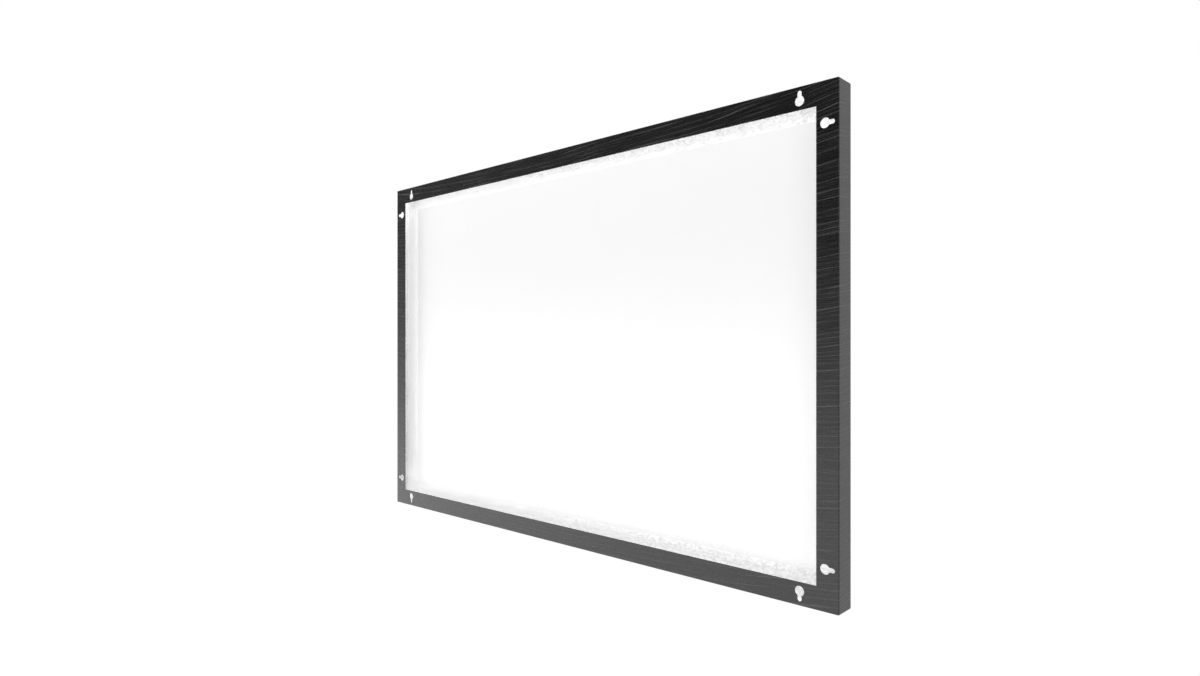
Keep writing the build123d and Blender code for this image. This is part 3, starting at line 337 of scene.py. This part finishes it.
def make_studio():
    """A plain pale floor, a wide soft light straight above it, and a lamp each for the floor and the rear."""
    mesh = bpy.data.meshes.new("floor")
    half = FLOOR_HALF
    outline = [(-half, -half), (half, -half), (half, FLOOR_BACK), (-half, FLOOR_BACK)]
    mesh.from_pydata([(x, y, FLOOR_Z) for x, y in outline], [], [(0, 1, 2, 3)])
    floor = bpy.data.objects.new("floor", mesh)
    bpy.context.collection.objects.link(floor)
    material, _, _ = new_material("floor", Base_Color=grey(FLOOR_GREY), Roughness=FLOOR_ROUGH)
    mesh.materials.append(material)
    light = bpy.data.lights.new("overhead", "SUN")
    light.energy = SUN_STRENGTH
    light.angle = SUN_ANGLE
    sun = bpy.data.objects.new("overhead", light)
    bpy.context.collection.objects.link(sun)
    soft_light("floor_left", *FLOOR_LAMP, mirrored=False)
    soft_light("rear_key", *REAR_LAMP)
    view = bpy.context.scene.view_settings
    view.view_transform = "Standard"


# Materials


def ridges(tree, bent, jitter, count, wander, width):
    """Thin lines, this many to the metre, that jitter pushes unevenly apart."""
    phase = tree.plus(tree.times(bent, count), tree.times(jitter, wander))
    distance = tree.size(tree.minus(tree.math("FRACT", phase), 0.5))
    return tree.range(distance, 0.0, width, 1.0, 0.0)


def streaks(tree, along, bent, scale_along, scale_across, layer, detail):
    """Noise drawn out along the grain; each layer is another slice through it."""
    place = tree.join(tree.times(along, scale_along), tree.times(bent, scale_across), layer)
    return tree.noise(place, 1.0, detail)


def unfold(tree):
    """Places along and across the grain that run on round the folds, and how much of a fold this is."""
    x, y, z = tree.split(tree.place())
    normal = tree.add("ShaderNodeNewGeometry").outputs["Normal"]
    facing_x, facing_y, facing_z = [tree.size(part) for part in tree.split(normal)]
    flat = tree.math("MAXIMUM", facing_x, tree.math("MAXIMUM", facing_y, facing_z))
    fold = tree.range(flat, *FOLD_NORMAL, 1.0, 0.0)
    level = tree.math("GREATER_THAN", facing_z, LEVEL_NORMAL)
    upright = tree.minus(1.0, level)
    across = tree.plus(z, tree.times(tree.times(y, tree.math("SIGN", z)), level))
    along = tree.plus(x, tree.times(tree.times(y, tree.math("SIGN", x)), upright))
    return along, across, fold


def grained_black():
    """Satin black with fine, gently curving grain lines that run on round the folded edges."""
    material, tree, shader = new_material("frame_black", Specular_IOR_Level=FRAME_SPECULAR)
    along, across, fold = unfold(tree)
    curve = tree.times(along, tree.plus(tree.times(along, GRAIN_CURVE), GRAIN_SLOPE))
    sway = tree.noise(tree.join(along, across, 0.0), SWAY_SCALE, 1.0)
    rippled = tree.join(along, tree.times(across, RIPPLE_STRETCH), RIPPLE_LAYER)
    ripple = tree.noise(rippled, RIPPLE_SCALE, 1.0)
    bent = tree.minus(across, curve)
    bent = tree.plus(bent, tree.times(sway, SWAY))
    bent = tree.plus(bent, tree.times(ripple, RIPPLE))
    jitter = streaks(tree, along, bent, *JITTER_STREAKS)
    strand = ridges(tree, bent, jitter, *STRANDS)
    thin = ridges(tree, bent, jitter, *THIN_STRANDS)
    fade = streaks(tree, along, bent, *FADE_STREAKS)
    line = tree.plus(strand, tree.times(thin, THIN_STRENGTH))
    line = tree.times(line, tree.range(fade, *NOISE_NARROW, FADED, UNFADED))
    fine = streaks(tree, along, bent, *FINE_STREAKS)
    base = tree.mix(tree.range(fine, *FINE_SHADES), GRAIN_DARK, GRAIN_PALE)
    tree.put(shader.inputs["Base Color"], tree.mix(line, base, GRAIN_LINE))
    rough = tree.plus(tree.range(fine, *FINE_ROUGH), tree.times(line, LINE_ROUGH))
    tree.put(shader.inputs["Roughness"], tree.plus(rough, tree.times(fold, FOLD_ROUGH)))
    height = tree.minus(tree.times(fine, FINE_RELIEF), line)
    tree.put(shader.inputs["Normal"], tree.bump(height, *GRAIN_BUMP))
    return material


def shades(colour, darker, paler):
    """A colour multiplied by each of two factors, with alpha added and no channel over 1."""
    return [tuple(min(1.0, c * factor) for c in colour) + (1.0,) for factor in (darker, paler)]


def coated(name, colour, rough, grain, spread=0.25, depth=0.00008, marked=None):
    """Paint or powder coat: a fine pebbled skin with slight shade changes, and any white mark on it."""
    material, tree, shader = new_material(name)
    place = tree.place()
    pebble = tree.noise(place, grain, *PEBBLE_NOISE)
    cloud = tree.noise(place, *CLOUD_NOISE)
    shade = tree.plus(tree.times(pebble, PEBBLE_SHADE), tree.times(cloud, CLOUD_SHADE))
    skin = tree.mix(tree.range(shade, *NOISE_NARROW), *shades(colour, 1 - spread, 1 + spread))
    if marked:
        skin = tree.mix(marked(tree, place), skin, MARK_WHITE)
    tree.put(shader.inputs["Base Color"], skin)
    roughness = tree.range(pebble, *NOISE_WIDE, rough - COAT_SMOOTHER, rough + COAT_ROUGHER)
    tree.put(shader.inputs["Roughness"], roughness)
    tree.put(shader.inputs["Normal"], tree.bump(pebble, COAT_BUMP, depth))
    return material


def pointer_top(tree, place):
    """Where the knob's raised pointer is: above the flat of its top."""
    _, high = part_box("dimmer_knob")
    return tree.math("GREATER_THAN", tree.split(place)[1], high[1] - POINTER_PAINT)


def rocker_dot(tree, place):
    """A round dot near the rocker's upper end."""
    low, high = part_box("power_rocker")
    x, _, z = tree.split(place)
    aside = tree.minus(x, (low[0] + high[0]) / 2)
    above = tree.minus(z, high[2] - DOT_DROP)
    reach = tree.plus(tree.times(aside, aside), tree.times(above, above))
    return tree.math("LESS_THAN", reach, DOT_RADIUS ** 2)


def metal(name, colour, rough, stretch=(1.0, 1.0, 12.0)):
    """Bare metal with short drawing marks along one direction."""
    material, tree, shader = new_material(name, Metallic=1.0)
    stretched = [tree.times(part, scale) for part, scale in zip(tree.split(tree.place()), stretch)]
    marks = tree.noise(tree.join(*stretched), *METAL_NOISE)
    colours = shades(colour, METAL_DARKER, METAL_PALER)
    tree.put(shader.inputs["Base Color"], tree.mix(tree.range(marks, *NOISE_WIDE), *colours))
    roughness = tree.range(marks, *NOISE_WIDE, rough - METAL_SMOOTHER, rough + METAL_ROUGHER)
    tree.put(shader.inputs["Roughness"], roughness)
    tree.put(shader.inputs["Normal"], tree.bump(marks, *METAL_BUMP))
    return material


def lit_opal():
    """The opal face: soft white glow, a little weaker towards the unlit sides, partly its own falloff and
    partly painted shade, with a painted shadow along the sill and painted shade towards the top.
    """
    material, tree, shader = new_material("opal", Base_Color=grey(OPAL_GREY), Emission_Strength=OPAL_STRENGTH)
    place = tree.place()
    x, _, z = tree.split(place)
    _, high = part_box("white_surround")
    inset = tree.minus(high[0] - LIT_BORDER, tree.size(x))
    # Weaker towards the sides: partly the panel's own falloff, partly painted shade
    side = tree.range(inset, *OPAL_SIDES)
    # Painted shadow along the sill, under the lower flange
    sill = tree.range(tree.plus(z, high[2] - LIT_BORDER), *OPAL_SILL_SHADOW)
    # Painted shade: the glow weakens towards the top
    height = tree.range(z, high[2] * -OPAL_MIDDLE, high[2] * OPAL_MIDDLE, OPAL_LOW, OPAL_HIGH)
    haze = tree.range(tree.noise(place, *HAZE_NOISE), *NOISE_NARROW, *HAZE_LEVELS)
    glow = tree.times(tree.times(side, height), tree.times(sill, haze))
    tree.put(shader.inputs["Emission Color"], tree.mix(glow, grey(0.0), grey(1.0)))
    grain = tree.noise(place, *OPAL_NOISE)
    tree.put(shader.inputs["Roughness"], tree.range(grain, *NOISE_WIDE, *OPAL_ROUGH))
    tree.put(shader.inputs["Normal"], tree.bump(grain, *OPAL_BUMP))
    return material


def painted_lining_light(tree, x, z):
    """How strongly the lining's painted glow shows, by height and by how far in from its outside a place is;
    its levels are painted light and shade.
    """
    low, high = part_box("white_surround")
    border = LIT_BORDER
    reach = tree.math("MINIMUM", tree.minus(high[0], tree.size(x)), tree.minus(high[2], tree.size(z)))
    top = tree.range(z, *(high[2] * share for share in UPPER_BAND))
    edge = tree.range(reach, *(border * share for share in EDGE_SHARES), *EDGE_LEVELS)
    above = tree.range(reach, 0.0, border, *ABOVE_LEVELS, smooth=False)
    upper = tree.blend(top, edge, above)
    level = tree.range(z, low[2], low[2] * LOWER_BAND, LOWER_LEVEL, upper)
    wall = tree.range(z, *(high[2] * share for share in WALL_BAND), *WALL_LEVELS)
    level = tree.times(level, tree.range(reach, *WALL_REACH, wall, 1.0))
    behind = tree.range(z, low[2], high[2], *BEHIND_LEVELS)
    level = tree.times(level, tree.range(reach, 0.0, border * BEHIND_SHARE, behind, 1.0))
    foot = tree.range(reach, *(border * share for share in FOOT_SHARES), *FOOT_LEVELS)
    level = tree.times(level, foot)
    # Painted shade: the lining's glow is dimmer by the lower right corner
    corner = tree.times(tree.range(x, *CORNER_X), tree.range(z, *CORNER_Z, 1.0, 0.0))
    return tree.times(level, tree.range(corner, 0.0, 1.0, 1.0, CORNER_SHADE))


def lining_white():
    """Mottled white lining with a painted glow, brightest low down, that stands in for the light and shade on
    it.
    """
    material, tree, shader = new_material("lining_white", Emission_Strength=PAINTED_LINING_GLOW)
    place = tree.place()
    x, _, z = tree.split(place)
    skin = tree.noise(place, *LINING_NOISE)
    mottle = tree.range(tree.noise(place, *MOTTLE_NOISE), *MOTTLE_SPAN)
    # Painted light: the lining glows though it is no lamp, standing in for the light and shade on it
    glow = tree.times(painted_lining_light(tree, x, z), tree.range(mottle, 0.0, 1.0, MOTTLE_GLOW, 1.0))
    tree.put(shader.inputs["Emission Color"], tree.mix(glow, grey(0.0), grey(1.0)))
    tree.put(shader.inputs["Base Color"], tree.mix(mottle, *(grey(value) for value in MOTTLE_GREYS)))
    tree.put(shader.inputs["Roughness"], tree.range(skin, *NOISE_WIDE, *LINING_ROUGH))
    tree.put(shader.inputs["Normal"], tree.bump(skin, *LINING_BUMP))
    return material


# Each coat's colour, roughness, pebbling to the metre, and any spread of shades, relief and mark of its own
COATS = {
    "clear_acrylic": ((0.86, 0.9, 0.92), 0.12, 500.0, 0.03, 0.00001),
    "film_white": ((0.93, 0.93, 0.93), 0.4, 700.0, 0.02),
    "foam_grey": ((0.24, 0.24, 0.25), 0.9, 900.0, 0.25, 0.0003),
    "board_white": ((0.88, 0.88, 0.86), 0.4, 900.0, 0.04),
    "led_yellow": ((0.92, 0.8, 0.3), 0.3, 1500.0, 0.08),
    "rail_white": ((0.86, 0.86, 0.86), 0.5, 900.0, 0.04),
    "cover_black": ((0.022, 0.022, 0.024), 0.52, 1100.0, 0.4, 0.0004),
    "lead_black": ((0.02, 0.02, 0.02), 0.45, 1200.0, 0.2),
    "grommet_rubber": ((0.03, 0.03, 0.03), 0.75, 1500.0, 0.2),
    "board_green": ((0.03, 0.22, 0.1), 0.35, 600.0, 0.15),
    "ferrite": ((0.06, 0.06, 0.065), 0.7, 1800.0, 0.25),
    "winding_tape": ((0.8, 0.58, 0.08), 0.3, 400.0, 0.08),
    "capacitor_sleeve": ((0.03, 0.045, 0.11), 0.25, 500.0, 0.12),
    "semiconductor": ((0.03, 0.03, 0.03), 0.6, 1600.0, 0.2),
    "terminal_green": ((0.03, 0.33, 0.17), 0.35, 700.0, 0.1),
    "moulded_black": ((0.018, 0.018, 0.019), 0.34, 1500.0, 0.2, 0.00004),
    "knob_black": ((0.024, 0.024, 0.025), 0.62, 1700.0, 0.2, 0.00006, pointer_top),
    "rocker_black": ((0.018, 0.018, 0.019), 0.3, 1500.0, 0.2, 0.00004, rocker_dot),
}

# Each metal's colour, roughness and any stretch of its marks of its own
METALS = {
    "aluminium": ((0.75, 0.76, 0.78), 0.32, (1.0, 12.0, 12.0)),
    "zinc_steel": ((0.6, 0.61, 0.62), 0.36),
    "screw_black": ((0.06, 0.06, 0.063), 0.4),
    "choke_copper": ((0.72, 0.36, 0.16), 0.3),
    "contact_brass": ((0.78, 0.72, 0.6), 0.25),
    "shaft_steel": ((0.66, 0.66, 0.67), 0.25, (1.0, 14.0, 1.0)),
}

MATERIALS = {"frame_black": grained_black(), "lining_white": lining_white(), "opal": lit_opal()}
for kind, table in ((coated, COATS), (metal, METALS)):
    MATERIALS.update((name, kind(name, *settings)) for name, settings in table.items())


def dress_nodes():
    """Each CAD node gets the material of its slot in the record, and the rocker the one with its dot."""
    slots = {part["node"]: part["material_slot"] for part in frame["record"]["subparts"]}
    for name, node in frame["nodes"].items():
        material = MATERIALS["rocker_black" if name == "power_rocker" else slots[name]]
        for i in range(len(node.data.materials)):
            node.data.materials[i] = material
        if not node.data.materials:
            node.data.materials.append(material)


def dial_scale():
    """Short printed ticks on the control box, fanned round the dimmer knob."""
    low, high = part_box("dimmer_knob")
    _, box_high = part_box("driver_housing")
    centre = Vector(((low[0] + high[0]) / 2, box_high[1] + TICK_LIFT + TICK_SKIN / 2, (low[2] + high[2]) / 2))
    size = (2 * TICK_HALF_WIDTH, TICK_SKIN, TICK_TO - TICK_FROM)
    out = Matrix.Translation((0, 0, (TICK_FROM + TICK_TO) / 2))
    shape = bmesh.new()
    for i in range(TICKS):
        turn = Matrix.Rotation(TICK_SWEEP * (i / (TICKS - 1) - 0.5), 4, "Y")
        bmesh.ops.create_cube(shape, size=1.0, matrix=turn @ out @ Matrix.Diagonal((*size, 1.0)))
    mesh = bpy.data.meshes.new("dial_scale")
    shape.to_mesh(mesh)
    shape.free()
    mesh.materials.append(MATERIALS["rail_white"])
    piece = bpy.data.objects.new("dial_scale", mesh)
    piece.location = centre
    bpy.context.collection.objects.link(piece)
    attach(piece, "panel")


make_camera()
make_world()
make_studio()
dress_nodes()
dial_scale()
